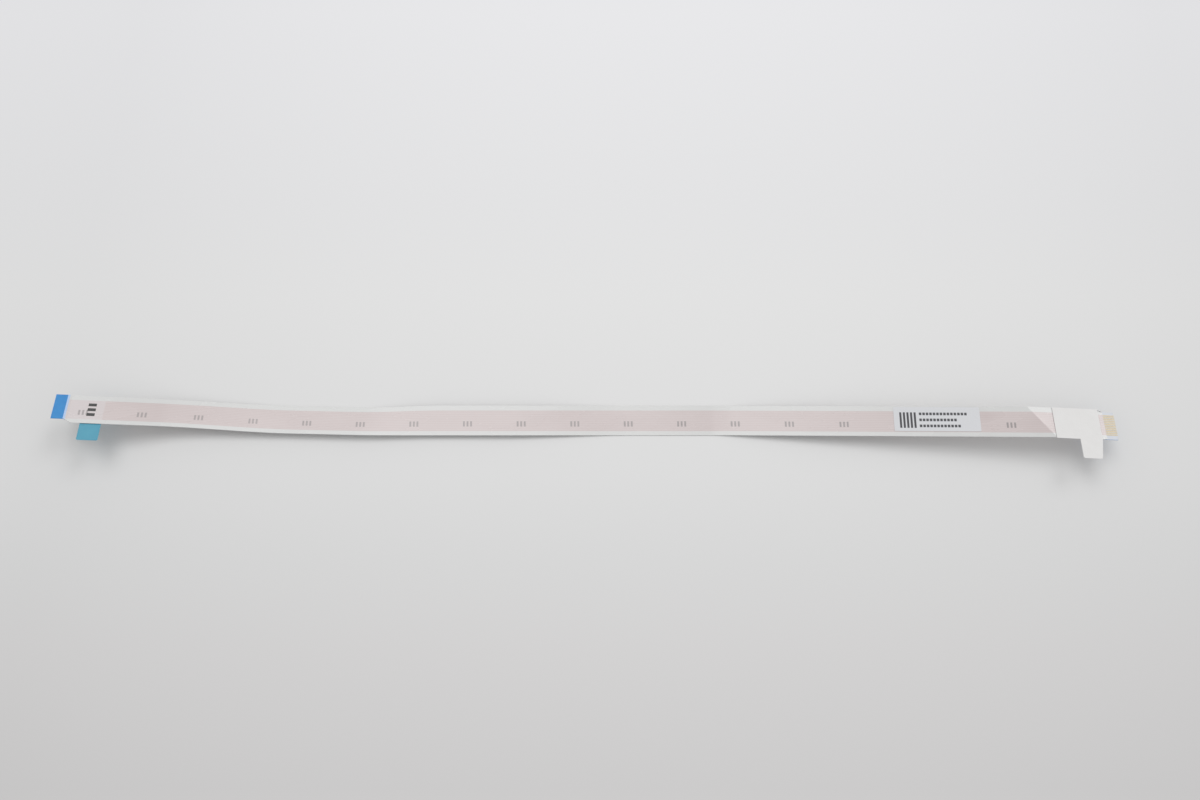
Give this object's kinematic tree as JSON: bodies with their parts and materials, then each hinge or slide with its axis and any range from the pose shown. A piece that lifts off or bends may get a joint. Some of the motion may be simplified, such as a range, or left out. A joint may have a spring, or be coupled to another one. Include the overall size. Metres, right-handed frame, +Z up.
{
  "type": "laptop camera flat flexible cable",
  "caption": "Long white flat flexible cable with bare flat contacts on blue stiffeners, adhesive pads under pull-tab liners, a printed label and an opened slanting crease.",
  "frame": {"origin": "on the table, on the middle line of the stretch that lies flat", "axes": "+X along the cable to the board end, +Y to its back edge, +Z up from the table"},
  "size_m": [0.2788, 0.0182, 0.01],
  "materials": {
    "white_film": "satin, slightly see-through polyester film",
    "conductor": "gold-plated flat copper",
    "blue_stiffener": "satin polyester stiffener",
    "adhesive": "matt double-sided adhesive",
    "cyan_liner": "glossy polyester release film",
    "white_liner": "smooth coated paper",
    "label_paper": "matt coated paper"
  },
  "bodies": {
    "root": {"upper_film": "white_film", "lower_film": "white_film", "camera_end_stiffener": "blue_stiffener", "board_end_stiffener": "blue_stiffener", "camera_end_adhesive": "adhesive", "camera_end_liner": "cyan_liner", "board_end_adhesive": "adhesive", "board_end_liner": "white_liner", "label": "label_paper", "conductor_01": "conductor", "conductor_02": "conductor", "conductor_03": "conductor", "conductor_04": "conductor", "conductor_05": "conductor", "conductor_06": "conductor", "conductor_07": "conductor", "conductor_08": "conductor", "conductor_09": "conductor", "conductor_10": "conductor", "conductor_11": "conductor", "conductor_12": "conductor"}
  },
  "joints": []
}
